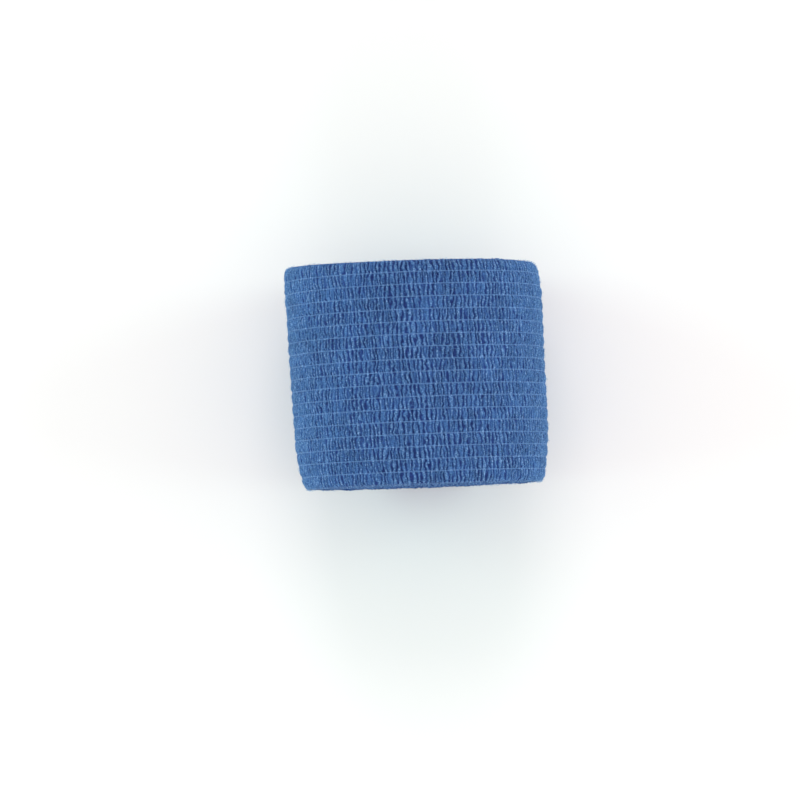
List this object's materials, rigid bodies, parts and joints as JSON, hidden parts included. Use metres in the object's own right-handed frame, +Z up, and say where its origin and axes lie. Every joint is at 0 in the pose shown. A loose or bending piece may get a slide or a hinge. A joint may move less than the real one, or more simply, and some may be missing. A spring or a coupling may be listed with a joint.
{
  "type": "cohesive bandage roll",
  "caption": "Roll of blue self-adhering crepe bandage lying on its side, with rows of crepe between elastic threads, soft rims and a small open eye.",
  "frame": {"origin": "on the surface that the roll lies on, under the middle of the roll", "axes": "+Y along the axis of the roll towards its slightly wider end, +Z up from the surface, +X across the roll"},
  "size_m": [0.0592, 0.0506, 0.0577],
  "materials": {
    "crepe": "matt crinkled non-woven cloth"
  },
  "bodies": {
    "root": {"bandage_roll": "crepe"}
  },
  "joints": []
}
